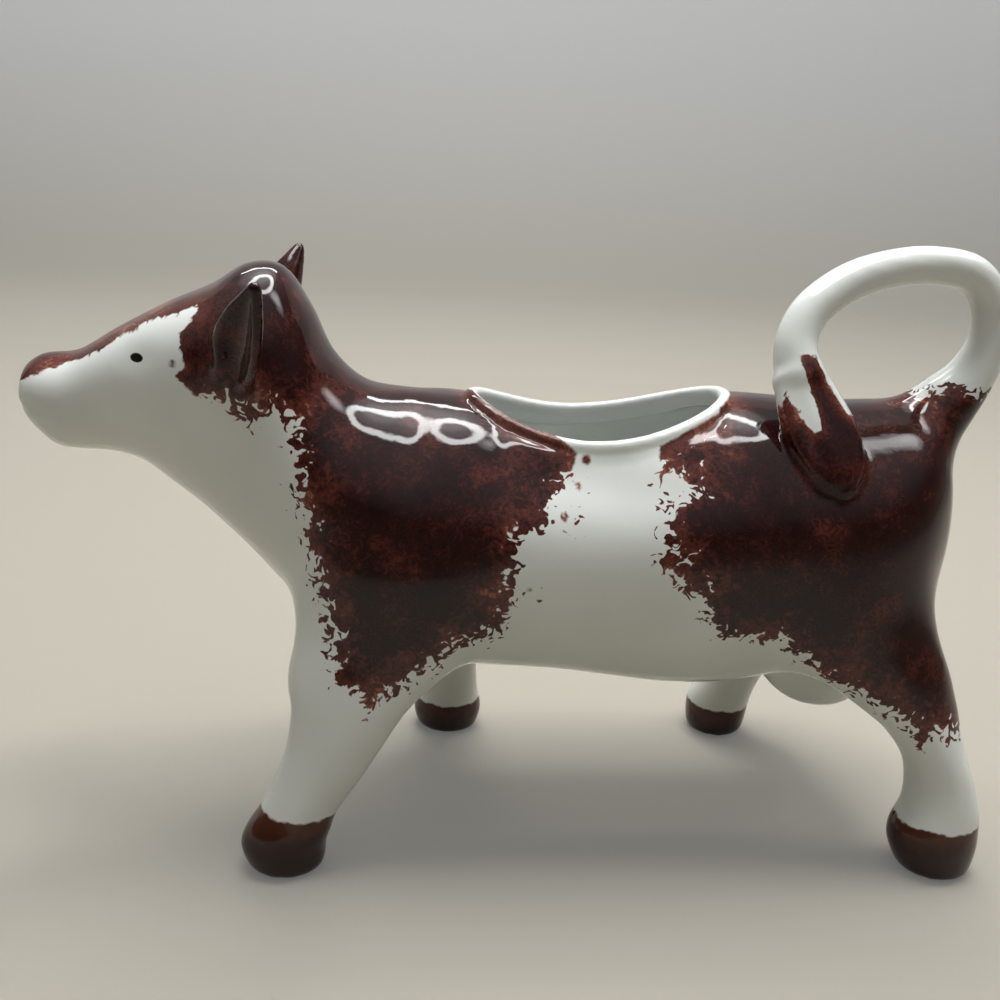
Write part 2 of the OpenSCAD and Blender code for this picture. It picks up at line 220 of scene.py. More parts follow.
# A leg's row holds its height, its step along the cow, its distance from the middle plane, and
# its half length and half width, as shares of the leg's height, the spread and half a hoof.
legs = {
    "height": 52,
    "spread": 24.5,
    "hoofLength": 14.6,
    "hoofWidth": 12.8,
    "ends": (0, 0.4),
    "sides": 96,
    "stepsPerRow": 12,
    "left_front_leg": {
        "place": 46,
        "side": -1,
        "hoofTop": 11.4,
        "rows": [
            [0.00, 0.010, 1.00, 0.80, 0.80],
            [0.03, 0.005, 1.00, 0.94, 0.93],
            [0.09, 0.000, 1.00, 1.01, 1.01],
            [0.15, 0.020, 1.00, 0.99, 1.00],
            [0.21, 0.050, 0.98, 0.93, 0.95],
            [0.31, 0.108, 0.94, 1.00, 0.99],
            [0.42, 0.160, 0.90, 1.12, 1.05],
            [0.54, 0.205, 0.85, 1.34, 1.13],
            [0.69, 0.262, 0.77, 1.80, 1.22],
            [1.00, 0.380, 0.63, 2.00, 1.22],
        ],
    },
    "right_front_leg": {
        "place": 75.5,
        "side": 1,
        "hoofTop": 6.9,
        "rows": [
            [0.00, 0.003, 1.00, 0.78, 0.80],
            [0.03, 0.000, 1.00, 0.92, 0.93],
            [0.09, 0.000, 1.00, 0.99, 1.00],
            [0.15, 0.002, 1.00, 0.88, 0.95],
            [0.21, 0.005, 0.98, 0.80, 0.88],
            [0.31, 0.000, 0.94, 0.80, 0.90],
            [0.42, -0.005, 0.90, 0.86, 0.98],
            [0.54, -0.030, 0.85, 1.00, 1.08],
            [0.69, -0.080, 0.77, 1.35, 1.20],
            [1.00, -0.150, 0.63, 1.75, 1.22],
        ],
    },
    "left_hind_leg": {
        "place": 163,
        "side": -1,
        "hoofTop": 10.3,
        "rows": [
            [0.00, 0.022, 1.00, 0.82, 0.82],
            [0.03, 0.015, 1.00, 0.96, 0.94],
            [0.10, 0.003, 1.00, 1.10, 1.02],
            [0.16, 0.000, 1.00, 1.09, 1.02],
            [0.24, 0.012, 0.98, 0.95, 0.96],
            [0.33, 0.000, 0.95, 0.84, 0.93],
            [0.42, -0.032, 0.92, 0.80, 0.95],
            [0.52, -0.088, 0.87, 0.98, 1.03],
            [0.62, -0.165, 0.82, 1.36, 1.12],
            [0.77, -0.270, 0.75, 1.72, 1.20],
            [0.90, -0.360, 0.66, 1.70, 1.10],
            [1.00, -0.430, 0.56, 1.20, 0.75],
        ],
    },
    "right_hind_leg": {
        "place": 135.5,
        "side": 1,
        "hoofTop": 6.8,
        "rows": [
            [0.00, 0.000, 1.00, 0.74, 0.80],
            [0.03, 0.000, 1.00, 0.86, 0.93],
            [0.10, 0.002, 1.00, 0.92, 1.00],
            [0.16, 0.012, 1.00, 0.91, 1.00],
            [0.24, 0.040, 0.98, 0.85, 0.94],
            [0.33, 0.080, 0.95, 0.82, 0.92],
            [0.42, 0.135, 0.92, 0.85, 0.95],
            [0.52, 0.190, 0.87, 0.97, 1.03],
            [0.62, 0.228, 0.82, 1.24, 1.12],
            [0.77, 0.220, 0.75, 1.62, 1.20],
            [1.00, 0.110, 0.60, 1.65, 1.00],
        ],
    },
}

legNames = [name for name in legs if name.endswith("_leg")]


def legRings(name):
    leg = legs[name]
    s = curveOver(leg["rows"], (len(leg["rows"]) - 1) * legs["stepsPerRow"] + 1)
    a = turns(legs["sides"])
    x = noseX + leg["place"] + s[:, 1:2] * legs["height"]
    x = x + s[:, 3:4] * legs["hoofLength"] / 2 * np.cos(a)
    y = leg["side"] * s[:, 2:3] * legs["spread"] + s[:, 4:5] * legs["hoofWidth"] / 2 * np.sin(a)
    z = np.repeat(s[:, 0:1] * legs["height"], len(a), 1)
    return np.stack([x, y, z], 2)


# Rows from the lowest point up: height, step, half size, as shares
udder = {
    "length": 24,
    "width": 21,
    "clearance": 21,
    "place": 145.5,
    "ends": (0, 0.4),
    "rings": 31,
    "sides": 96,
    "rows": [
        [0.00, 0.06, 0.30],
        [0.07, 0.05, 0.58],
        [0.25, 0.03, 0.84],
        [0.55, 0.00, 0.98],
        [1.00, 0.00, 1.00],
    ],
}


def udderRings():
    s = curveOver(udder["rows"], udder["rings"])
    a = turns(udder["sides"])
    x = noseX + udder["place"] + s[:, 1:2] * udder["length"]
    x = x + s[:, 2:3] * udder["length"] / 2 * np.cos(a)
    y = s[:, 2:3] * udder["width"] / 2 * np.sin(a)
    drop = trunk["height"] / 2 - udder["clearance"]
    z = np.repeat(udder["clearance"] + s[:, 0:1] * drop, len(a), 1)
    return np.stack([x, y, z], 2)


# Rows from root to tip: length and width, as shares
ear = {
    "length": 25,
    "width": 9,
    "thickness": 1.7,
    "hollow": 3.6,
    "span": 59,
    "place": 37.2,
    "rootHeight": 82,
    "rootSpan": 28,
    "setback": 6,
    "faces": [-0.35, -0.94, 0.00],
    "ends": (0.4, 0.6),
    "rings": 49,
    "sides": 56,
    "rows": [
        [0.00, 0.36],
        [0.12, 0.60],
        [0.32, 0.90],
        [0.52, 0.96],
        [0.72, 0.76],
        [0.88, 0.46],
        [0.96, 0.30],
        [1.00, 0.20],
    ],
}


def earRings(side):
    out = (ear["span"] - ear["rootSpan"]) / 2
    rise = math.sqrt(ear["length"] ** 2 - out**2 - ear["setback"] ** 2)
    root = np.array([noseX + ear["place"], -ear["rootSpan"] / 2, ear["rootHeight"]])
    way = unit([ear["setback"], -out, rise])
    face = unit(np.array(ear["faces"]) - way * np.dot(ear["faces"], way))
    across = np.cross(way, face)
    s = curveOver(ear["rows"], ear["rings"])
    a = turns(ear["sides"])
    run = s[:, 0:1, None] * ear["length"] * way
    half = s[:, 1:2] * ear["width"] / 2
    leaf = np.minimum(half, ear["thickness"] / 2)
    place = np.clip(np.cos(a), leaf / half - 1, 1 - leaf / half)
    turn = np.clip((np.abs(np.cos(a)) - 1) * half / leaf + 1, 0, 1)
    bend = s[:, 1:2] * ear["hollow"]
    slope = 2 * bend * place / half
    out, on = np.sign(np.sin(a)) * np.sqrt(1 - turn**2) * leaf, np.sign(np.cos(a)) * turn * leaf
    steep = np.hypot(1, slope)
    wide = half * place + (on - slope * out) / steep
    deep = bend * (place**2 - 0.25) + (out + slope * on) / steep
    rings = root + run + wide[:, :, None] * across + deep[:, :, None] * face
    rings[:, :, 1] *= side
    return rings


# Middle line from inside the rump to the brush: share of the loop's length from its rear, of the
# offset to the left, of the height over the back, and the size
tail = {
    "loopLength": 44.5,
    "loopRise": 28,
    "thickness": 6.6,
    "width": 7.4,
    "offset": 10,
    "end": 0.4,
    "endSteps": 7,
    "sides": 40,
    "steps": 10,
    "rows": [
        [0.36, 0.00, -0.44, 2.10],
        [0.20, 0.00, -0.08, 1.85],
        [0.06, 0.00, 0.21, 1.30],
        [0.00, 0.00, 0.50, 1.04],
        [0.03, 0.00, 0.76, 1.00],
        [0.14, 0.00, 0.95, 1.00],
        [0.32, 0.00, 1.00, 1.00],
        [0.52, 0.06, 0.97, 1.00],
        [0.73, 0.20, 0.87, 1.00],
        [0.91, 0.42, 0.68, 1.00],
        [0.99, 0.66, 0.46, 1.03],
        [0.98, 0.94, 0.24, 1.16],
    ],
}


def tailLine(t):
    s = curveThrough(tail["rows"], t)
    x = -noseX - tail["thickness"] / 2 - s[:, 0] * (tail["loopLength"] - tail["thickness"])
    y = -s[:, 1] * tail["offset"]
    z = trunk["height"] + s[:, 2] * (tail["loopRise"] - tail["thickness"] / 2)
    return np.stack([x, y, z], 1), s[:, 3]


# Rows from the tail to the tip: length, width and thickness, as shares. Locks are combed grooves.
brush = {
    "length": 21,
    "width": 13,
    "thickness": 6.5,
    "way": [0.33, -0.52, -0.79],
    "faces": [0.00, -0.70, 0.60],
    "locks": 7,
    "lockDepth": 0.045,
    "lockTurn": 1.5,
    "combGain": 1.3,
    "ends": (0.5, 0.6),
    "rings": 41,
    "sides": 84,
    "rows": [
        [0.00, 0.70, 1.04],
        [0.20, 0.86, 1.00],
        [0.45, 1.00, 0.94],
        [0.70, 0.96, 0.84],
        [0.90, 0.70, 0.64],
        [1.00, 0.30, 0.34],
    ],
}


def brushRings():
    root = tailLine([len(tail["rows"]) - 1])[0][0]
    way = unit(brush["way"])
    side = np.cross(brush["way"], brush["faces"])
    across = unit(side - way * np.dot(side, way))
    face = np.cross(way, across)
    s = curveOver(brush["rows"], brush["rings"])
    a = turns(brush["sides"])
    comb = np.sin(np.clip(s[:, 0:1] * brush["combGain"], 0, 1) * math.pi / 2)
    wave = np.cos(brush["locks"] * a + brush["lockTurn"] * s[:, 0:1])
    lock = 1 - brush["lockDepth"] * comb * (1 + wave)
    wide = (s[:, 1:2] * brush["width"] / 2 * lock * np.cos(a))[:, :, None] * across
    deep = (s[:, 2:3] * brush["thickness"] / 2 * lock * np.sin(a))[:, :, None] * face
    return root + s[:, 0:1, None] * brush["length"] * way + wide + deep


# One node with its settings, and the sockets or values that feed it
def addNode(tree, kind, links=None, **settings):
    node = tree.nodes.new(kind)
    for name, value in settings.items():
        setattr(node, name, value)
    for socket, value in (links or {}).items():
        if isinstance(value, bpy.types.NodeSocket):
            tree.links.new(value, node.inputs[socket])
        else:
            node.inputs[socket].default_value = value
    return node


# Fills a colour ramp from its stops, each a place from 0 to 1 and a linear colour
def setStops(ramp, stops):
    for at, tone in stops[1:-1]:
        ramp.elements.new(at)
    for element, (at, tone) in zip(ramp.elements, stops):
        element.position, element.color = at, tone


def freshTree(owner):
    owner.use_nodes = True
    owner.node_tree.nodes.clear()
    return owner.node_tree


def addToScene(name, data):
    thing = bpy.data.objects.new(name, data)
    bpy.context.scene.collection.objects.link(thing)
    return thing


# Sweeps a roll of clay along a path, as thick at each point as the path's radius says
def rollTree():
    tree = bpy.data.node_groups.new("clayRoll", "GeometryNodeTree")
    sockets = {"Path": "Geometry", "Width": "Float", "Thickness": "Float", "Sides": "Int"}
    for name, kind in (sockets | {"Clay": "Material"}).items():
        tree.interface.new_socket(name, in_out="INPUT", socket_type="NodeSocket" + kind)
    tree.interface.new_socket("Roll", in_out="OUTPUT", socket_type="NodeSocketGeometry")
    start = addNode(tree, "NodeGroupInput").outputs
    links = {"Resolution": start["Sides"], "Radius": 0.5}
    ring = addNode(tree, "GeometryNodeCurvePrimitiveCircle", links).outputs[0]
    size = addNode(tree, "ShaderNodeCombineXYZ", {0: start["Width"], 1: start["Thickness"], 2: 1.0})
    shape = addNode(tree, "GeometryNodeTransform", {"Geometry": ring, "Scale": size.outputs[0]}).outputs[0]
    sweep = addNode(tree, "GeometryNodeCurveToMesh", {0: start["Path"], 1: shape, "Fill Caps": True})
    if "Scale" in sweep.inputs:
        radius = addNode(tree, "GeometryNodeInputRadius")
        tree.links.new(radius.outputs[0], sweep.inputs["Scale"])
    real = addNode(tree, "GeometryNodeRealizeInstances", {0: sweep.outputs[0]}).outputs[0]
    coat = addNode(tree, "GeometryNodeSetMaterial", {"Geometry": real, "Material": start["Clay"]})
    addNode(tree, "NodeGroupOutput", {0: coat.outputs[0]})
    return tree


# Values of all points or corners of a mesh, wide to a row
def fetched(items, key, wide, kind=float):
    values = np.zeros(len(items) * wide, kind)
    items.foreach_get(key, values)
    return values.reshape(-1, wide)


# Runs the clay roll along points in millimetres and gives the plain skin back
def rollAlong(tree, name, line, sizes, values, closed=False):
    path = bpy.data.curves.new(name, "CURVE")
    path.dimensions = "3D"
    spline = path.splines.new("POLY")
    spline.points.add(len(line) - 1)
    spline.points.foreach_set("co", np.column_stack([line, np.ones(len(line))]).ravel())
    spline.points.foreach_set("radius", np.asarray(sizes, float))
    spline.use_cyclic_u = closed
    holder = addToScene(name, path)
    roll = holder.modifiers.new("roll", "NODES")
    roll.node_group = tree
    for item in tree.interface.items_tree:
        if item.in_out == "INPUT" and item.name in values:
            roll[item.identifier] = values[item.name]
    seen = holder.evaluated_get(bpy.context.evaluated_depsgraph_get())
    mesh = bpy.data.meshes.new_from_object(seen)
    points = fetched(mesh.vertices, "co", 3)
    faces = [list(f.vertices) for f in mesh.polygons]
    bpy.data.objects.remove(holder)
    bpy.data.curves.remove(path)
    bpy.data.meshes.remove(mesh)
    return points, faces


# A form to measure distances from, with its box and its faces turned outwards
def formOf(points, faces):
    fans = np.array([(f[0], f[k], f[k + 1]) for f in faces for k in range(1, len(f) - 1)])
    a, b, c = (points[fans[:, k]] for k in range(3))
    if (a * np.cross(b, c)).sum() < 0:
        fans = fans[:, ::-1]
    tree = BVHTree.FromPolygons(points.tolist(), fans.tolist(), all_triangles=True)
    return {"tree": tree, "low": points.min(0), "high": points.max(0), "points": points, "faces": fans}


def closedForm(rings, ends=(0, 0)):
    return formOf(*skinOver(domed(rings, ends)))


# How far the wet slip and the glaze fill the angle where a piece is luted on, in millimetres
fillets = {
    "left_front_leg": 9,
    "right_front_leg": 9,
    "left_hind_leg": 10,
    "right_hind_leg": 9,
    "udder": 5,
    "left_ear": 3.5,
    "right_ear": 3.5,
    "tail_handle": 4,
    "tail_brush": 1.6,
    "rolled_rim": 1.0,
}

# Reaches and edges in millimetres, how the skin is drawn on to the forms, and how holes are plugged.
# The distance farOff stands for everything that is too far away to measure.
slip = {
    "farOff": 60.0,
    "trunkReach": 90,
    "spareReach": 3,
    "hollowReach": 6,
    "hollowEdge": 0.8,
    "mouthEdge": 0.4,
    "drawSteps": 5,
    "longestStep": 1.5,
    "leastSteep": 0.3,
    "drawnNear": 0.02,
    "rimHold": (0.2, 1.6),  # a touch starts this far from the rim and is full this much farther
    "seamNear": 3,
    "shellPlug": 0.4,
    "partPlug": 1.1,
    "plugShares": (0.8, 0.6, 0.4, 0.2, 0.0),
}


# Signed distance and outward way from a form, in millimetres; points far from its box are skipped
def measure(form, points, reach):
    gap = np.full(len(points), slip["farOff"])
    way = np.zeros_like(points)
    inBox = (points > form["low"] - reach) & (points < form["high"] + reach)
    near = np.flatnonzero(np.all(inBox, axis=1))
    if len(near):
        find = form["tree"].find_nearest
        found = [find(p) for p in points[near].tolist()]
        off = points[near] - np.array([f[0][:] for f in found])
        normal = np.array([f[1][:] for f in found])
        far = np.array([f[3] for f in found])
        side = np.where((off * normal).sum(1) < 0, -1.0, 1.0)
        gap[near] = side * far
        straight = side[:, None] * off / np.maximum(far, 1e-9)[:, None]
        way[near] = np.where(far[:, None] > 0.01, straight, normal)
    return gap, way


# Union of two distances with the angle between them filled, as slip fills it
def melt(a, wayA, b, wayB, fill):
    h = np.clip(0.5 + 0.5 * (b - a) / fill, 0, 1)
    return b * (1 - h) + a * h - fill * h * (1 - h), wayB * (1 - h)[:, None] + wayA * h[:, None]


# Distance from the wall of the oval shaft that opens the mouth, above zero outside it
def mouthCut(points):
    a, b = (mouth[k] / 2 + mouth["rimRadius"] / 2 for k in ("length", "width"))
    off = points[:, :2] - [noseX + mouth["place"], 0]
    q = np.maximum(np.hypot(off[:, 0] / a, off[:, 1] / b), 1e-6)
    slope = np.stack([off[:, 0] / a**2, off[:, 1] / b**2, 0 * q], 1) / q[:, None]
    steep = np.maximum(np.linalg.norm(slope, axis=1), 1e-6)
    gap = np.where(points[:, 2] > trunk["height"] / 2, (q - 1) / steep, slip["farOff"])
    return gap, slope / steep[:, None]


# The whole pot as one distance, and each part's own distance for telling the parts apart
def potSkin(forms, points):
    own = {}
    gap, way = measure(forms["outer"], points, slip["trunkReach"])
    own["outer"] = gap
    for name, fill in fillets.items():
        if name != "rolled_rim":
            part, partWay = measure(forms[name], points, fill + slip["spareReach"])
            own[name] = part
            gap, way = melt(gap, way, part, partWay, fill)
    inner, innerWay = measure(forms["inner"], points, slip["hollowReach"])
    own["inner"] = inner
    gap, way = melt(-gap, -way, inner, innerWay, slip["hollowEdge"])
    cut, cutWay = mouthCut(points)
    gap, way = melt(gap, way, cut, cutWay, slip["mouthEdge"])
    rim, rimWay = measure(forms["rolled_rim"], points, slip["spareReach"])
    own["rolled_rim"] = rim
    gap, way = melt(-gap, -way, rim, rimWay, fillets["rolled_rim"])
    return gap, way, own


# Mean of each value over the points that share an edge with it
def beside(values, faces):
    edges = np.concatenate([faces[:, [0, 1]], faces[:, [1, 2]], faces[:, [2, 0]]])
    count = np.bincount(edges.ravel(), minlength=len(values))
    total = np.zeros_like(values)
    for axis in range(3):
        total[:, axis] = np.bincount(edges[:, 0], values[edges[:, 1], axis], len(values))
        total[:, axis] += np.bincount(edges[:, 1], values[edges[:, 0], axis], len(values))
    return total / np.maximum(count, 1)[:, None]


# Ways that the skin faces, evened out over a few neighbours
def skinNormals(points, faces, passes=2):
    corners = points[faces]
    across = np.cross(corners[:, 1] - corners[:, 0], corners[:, 2] - corners[:, 0])
    normals = np.zeros_like(points)
    for k in range(3):
        np.add.at(normals, faces[:, k], across)
    normals = unit(normals)
    for step in range(passes):
        normals = unit(normals + beside(normals, faces))
    return normals


# Evens out the skin without shrinking it, as the wet sponge does before firing
def spongeDown(points, faces, passes):
    for pull in (0.5, -0.51) * passes:
        points = points + (beside(points, faces) - points) * pull
    return points


# Every part's form, dense enough that a reflection runs smoothly over it
def makeForms(clay):
    rollPath = rollTree()
    last = len(trunk["rows"]) - 1
    t = np.linspace(0, last, last * trunk["stepsPerRow"] + 1)
    depth = trunk["lipWall"] + (trunk["wall"] - trunk["lipWall"]) * np.minimum(1, t / trunk["lipRow"])
    depth = depth * (1 + trunk["slantGain"] * np.maximum(t - last + trunk["slantRows"], 0))
    forms = {"outer": closedForm(trunkRings(t, 0), trunk["ends"])}
    inside = t <= last - trunk["rearRows"]
    rings = trunkRings(t[inside], depth[inside])
    lead = rings[0] + (rings[0] - rings[4]) * trunk["lead"]
    forms["inner"] = closedForm(np.concatenate([lead[None], rings]), trunk["hollowEnds"])
    t = np.linspace(last - trunk["rearRows"], last - trunk["backingRows"], trunk["stepsPerRow"])
    forms["backing"] = closedForm(trunkRings(t, trunk["backingDepth"]))
    for name in legNames:
        forms[name] = closedForm(legRings(name), legs["ends"])
    forms["udder"] = closedForm(udderRings(), udder["ends"])
    forms["left_ear"] = closedForm(earRings(1), ear["ends"])
    forms["right_ear"] = closedForm(earRings(-1)[:, ::-1], ear["ends"])
    forms["tail_brush"] = closedForm(brushRings(), brush["ends"])
    t = np.linspace(0, len(tail["rows"]) - 1, (len(tail["rows"]) - 1) * tail["steps"] + 1)
    line, sizes = tailLine(t)
    lift = np.linspace(0, math.pi / 2, tail["endSteps"])[1:-1]
    for end, onward in ((0, 1), (-1, -2)):
        out = unit(line[end] - line[onward])
        cap = line[end] + np.outer(np.sin(lift) * sizes[end] * tail["thickness"] * tail["end"], out)
        capSizes = np.cos(lift) * sizes[end]
        line = np.concatenate([cap[::-1], line] if end == 0 else [line, cap])
        sizes = np.concatenate([capSizes[::-1], sizes] if end == 0 else [sizes, capSizes])
    roll = {"Width": tail["width"], "Thickness": tail["thickness"], "Sides": tail["sides"], "Clay": clay}
    forms["tail_handle"] = formOf(*rollAlong(rollPath, "tailRoll", line, sizes, roll))
    a = turns(mouth["steps"])
    edge = mouth["rimRadius"]
    x = noseX + mouth["place"] + (mouth["length"] / 2 + edge) * np.cos(a)
    y = (mouth["width"] / 2 + edge) * np.sin(a)
    line = np.stack([x, y, backHeight(x, y)], 1)
    roll = {"Width": edge * 2, "Thickness": edge * 2, "Sides": mouth["sides"], "Clay": clay}
    forms["rolled_rim"] = formOf(*rollAlong(rollPath, "rimRoll", line, np.ones(len(a)), roll, True))
    return forms


def copyOf(node):
    part = bmesh.new()
    part.from_mesh(node.data)
    bmesh.ops.remove_doubles(part, verts=part.verts, dist=1e-6)
    copy = bpy.data.meshes.new("copy")
    part.to_mesh(copy)
    part.free()
    return copy


def meshOf(points, faces):
    mesh = bpy.data.meshes.new("clay")
    mesh.from_pydata((points * mm).tolist(), [], faces.tolist())
    return mesh


def arraysOf(mesh, corners):
    points = fetched(mesh.vertices, "co", 3) / mm
    faces = fetched(mesh.loops, "vertex_index", 1, int).reshape(-1, corners)
    bpy.data.meshes.remove(mesh)
    return points, faces


# One closed skin of even squares round a set of meshes, which are used up
def castSkin(voxel, meshes):
    merged = bmesh.new()
    for mesh in meshes:
        merged.from_mesh(mesh)
        bpy.data.meshes.remove(mesh)
    mesh = bpy.data.meshes.new("castSkin")
    merged.to_mesh(mesh)
    merged.free()
    holder = addToScene("castSkin", mesh)
    remesh = holder.modifiers.new("voxels", "REMESH")
    remesh.mode = "VOXEL"
    remesh.voxel_size = voxel * mm
    remesh.adaptivity = 0
    seen = holder.evaluated_get(bpy.context.evaluated_depsgraph_get())
    even = bpy.data.meshes.new_from_object(seen)
    bpy.data.objects.remove(holder)
    bpy.data.meshes.remove(mesh)
    return even


# Splits the squares in three-cornered faces, and into smaller ones where the forms in fine lie
def splitSkin(even, forms, fine):
    skin = bmesh.new()
    skin.from_mesh(even)
    for name in fine:
        low, high = (Vector(forms[name][k]) * mm for k in ("low", "high"))
        near = [all(a - mm < c < b + mm for a, c, b in zip(low, v.co, high)) for v in skin.verts]
        edges = [e for e in skin.edges if near[e.verts[0].index] and near[e.verts[1].index]]
        bmesh.ops.subdivide_edges(skin, edges=edges, cuts=1, use_grid_fill=True)
        skin.verts.index_update()
    bmesh.ops.triangulate(skin, faces=skin.faces)
    skin.to_mesh(even)
    skin.free()
    return arraysOf(even, 3)


# Soft dents and swells that a thumb leaves in the model: place, reach and depth in millimetres,
# the same on both sides
touches = [
    [(-27.0, 14.0, 76.0), (5.0, 9.0, 7.0), 0.50],
    [(-12.5, 15.0, 75.0), (5.0, 9.0, 7.0), 0.55],
    [(-19.8, 15.0, 76.0), (3.0, 12.0, 9.0), -0.50],
    [(-5.0, 15.0, 75.5), (2.4, 9.0, 7.0), -0.36],
    [(3.0, 14.0, 75.3), (7.0, 5.0, 5.0), 0.75],
    [(4.0, 17.5, 71.5), (8.0, 4.0, 4.5), -0.45],
    [(16.0, 19.5, 69.0), (20.0, 6.0, 7.0), -1.1],
    [(32.5, 14.0, 76.0), (3.0, 9.0, 7.0), -0.40],
    [(40.0, 14.0, 76.5), (4.5, 6.0, 6.0), 0.55],
    [(-64.4, 12.5, 86.3), (3.6, 5.0, 2.6), -0.35],
    [(-82.5, 6.0, 75.9), (5.0, 5.0, 0.9), -0.45],
]


# Moves the skin under each touch, except where it is the mouth's rim
def press(points, normals, rimGap):
    first, over = slip["rimHold"]
    hold = np.clip((rimGap - first) / over, 0, 1)
    for (x, y, z), (rx, ry, rz), depth in touches:
        off = (points - [x, 0, z]) / [rx, 1, rz]
        off[:, 1] = (np.abs(points[:, 1]) - y) / ry
        points = points + normals * (hold * depth * np.exp(-(off**2).sum(1)))[:, None]
    return points


# Draws points on to the pot's skin, a few steps at a time
def drawOn(forms, points):
    live = np.arange(len(points))
    for step in range(slip["drawSteps"]):
        gap, way = potSkin(forms, points[live])[:2]
        steep = np.maximum((way**2).sum(1), slip["leastSteep"])
        stride = np.clip(gap, -slip["longestStep"], slip["longestStep"]) / steep
        points[live] -= stride[:, None] * way
        live = live[np.abs(gap) > slip["drawnNear"]]


# A coarse skin shows how far the slip fills the angles, and the fine one is cast over it. The backing
# goes in with it, because the solid's own wall is thin where the rump slants.
def fireSkin(forms, voxel, coarser, fine, passes):
    nodes = frame["nodes"]
    points, faces = arraysOf(castSkin(voxel * coarser, [copyOf(n) for n in nodes.values()]), 4)
    drawOn(forms, points)
    clay = [meshOf(points, faces)] + [copyOf(nodes[n]) for n in shells]
    clay += [meshOf(forms[n]["points"], forms[n]["faces"]) for n in fine + ["backing"]]
    points, faces = splitSkin(castSkin(voxel, clay), forms, fine)
    drawOn(forms, points)
    points = spongeDown(points, faces, passes)
    own = potSkin(forms, points)[2]
    points = press(points, skinNormals(points, faces), own["rolled_rim"])
    points[:, 2] = np.maximum(points[:, 2], 0)
    return points, faces, own


# Which part each face of the skin belongs to: the one whose own form lies nearest
def partOf(points, faces, own):
    names = ["outer"] + [n for n in fillets if n != "rolled_rim"]
    near = np.stack([own[n][faces].mean(1) for n in names])
    near[1:, own["inner"][faces].mean(1) < slip["hollowEdge"]] = slip["farOff"]
    label = near.argmin(0)
    middle = points[faces].mean(1)
    top, low = trunkEnds(np.array(trunk["rows"][trunk["neckRow"]]))
    ahead = middle[:, 0] < low[0] + (middle[:, 2] - low[1]) * (top[0] - low[0]) / (top[1] - low[1])
    parts = np.array(names)[label].astype(object)
    parts[label == 0] = np.where(ahead[label == 0], "head_shell", "body_shell")
    return parts


# Loops of open edges round a set of faces, each a list of points in order
def openLoops(faces):
    start = faces.ravel()
    end = np.roll(faces, -1, axis=1).ravel()
    made = set(zip(start.tolist(), end.tolist()))
    follow = {}
    for a, b in made:
        if (b, a) not in made:
            follow.setdefault(a, []).append(b)
    loops = []
    while follow:
        first = next(iter(follow))
        loop, spot = [], first
        while spot in follow:
            loop.append(spot)
            ways = follow[spot]
            onward = ways.pop()
            if not ways:
                del follow[spot]
            spot = onward
        loops.append(loop)
    return loops


# Gives every stray patch of faces the part that lies round it
def tidyParts(faces, parts, fewest=800, rounds=3):
    shared = {}
    for k in range(3):
        for i, (a, b) in enumerate(np.sort(faces[:, [k, (k + 1) % 3]], axis=1).tolist()):
            shared.setdefault((a, b), []).append(i)
    near = [[] for _ in range(len(faces))]
    for pair in shared.values():
        if len(pair) == 2:
            near[pair[0]].append(pair[1])
            near[pair[1]].append(pair[0])
    label = parts.tolist()
    for step in range(rounds):
        seen = [False] * len(faces)
        patches = []
        for first in range(len(faces)):
            if seen[first]:
                continue
            seen[first] = True
            patch, rim = [first], []
            for i in patch:
                for j in near[i]:
                    if label[j] != label[first]:
                        rim.append(label[j])
                    elif not seen[j]:
                        seen[j] = True
                        patch.append(j)
            patches.append((patch, rim))
        stray = [p for p in patches if len(p[0]) < fewest]
        for patch, rim in stray:
            for i in patch:
                label[i] = max(sorted(set(rim)), key=rim.count) if rim else ""  # crumbs are dropped
        if not stray:
            break
    return np.array(label, dtype=object)


# Closes a hole with rings that shrink to its middle and lie a little under the trunk's outer face
def plugHole(points, loop, forms, depth, newPoints, newFaces, at):
    middle = points[loop].mean(0)
    fromTrunk = measure(forms["outer"], points[loop], slip["trunkReach"])[0]
    under = np.abs(fromTrunk).mean() < slip["seamNear"]
    previous = at[loop].tolist()
    for share in slip["plugShares"]:
        spots = middle + (points[loop] - middle) * share if share else middle[None]
        if under:
            gap, way = measure(forms["outer"], spots, slip["trunkReach"])
            spots = spots - way * (gap + depth)[:, None]
        first = len(newPoints)
        newPoints.extend(spots.tolist())
        for k in range(len(loop)):
            onward = (k + 1) % len(loop)
            ahead = [first + k, first + onward] if share else [first]
            newFaces.append([previous[onward], previous[k]] + ahead)
        previous = [first + k for k in range(len(loop))]


# Bridges the outer and the inner edge of the seam between head and body, so the wall is closed
def bridgeSeam(mesh, loops):
    shape = bmesh.new()
    shape.from_mesh(mesh)
    shape.verts.ensure_lookup_table()
    edges = []
    for loop in loops:
        spots = [shape.verts[i] for i in loop]
        edges += [shape.edges.get((a, b)) for a, b in zip(spots, spots[1:] + spots[:1])]
    bmesh.ops.bridge_loops(shape, edges=edges)
    bmesh.ops.recalc_face_normals(shape, faces=shape.faces)
    shape.to_mesh(mesh)
    shape.free()


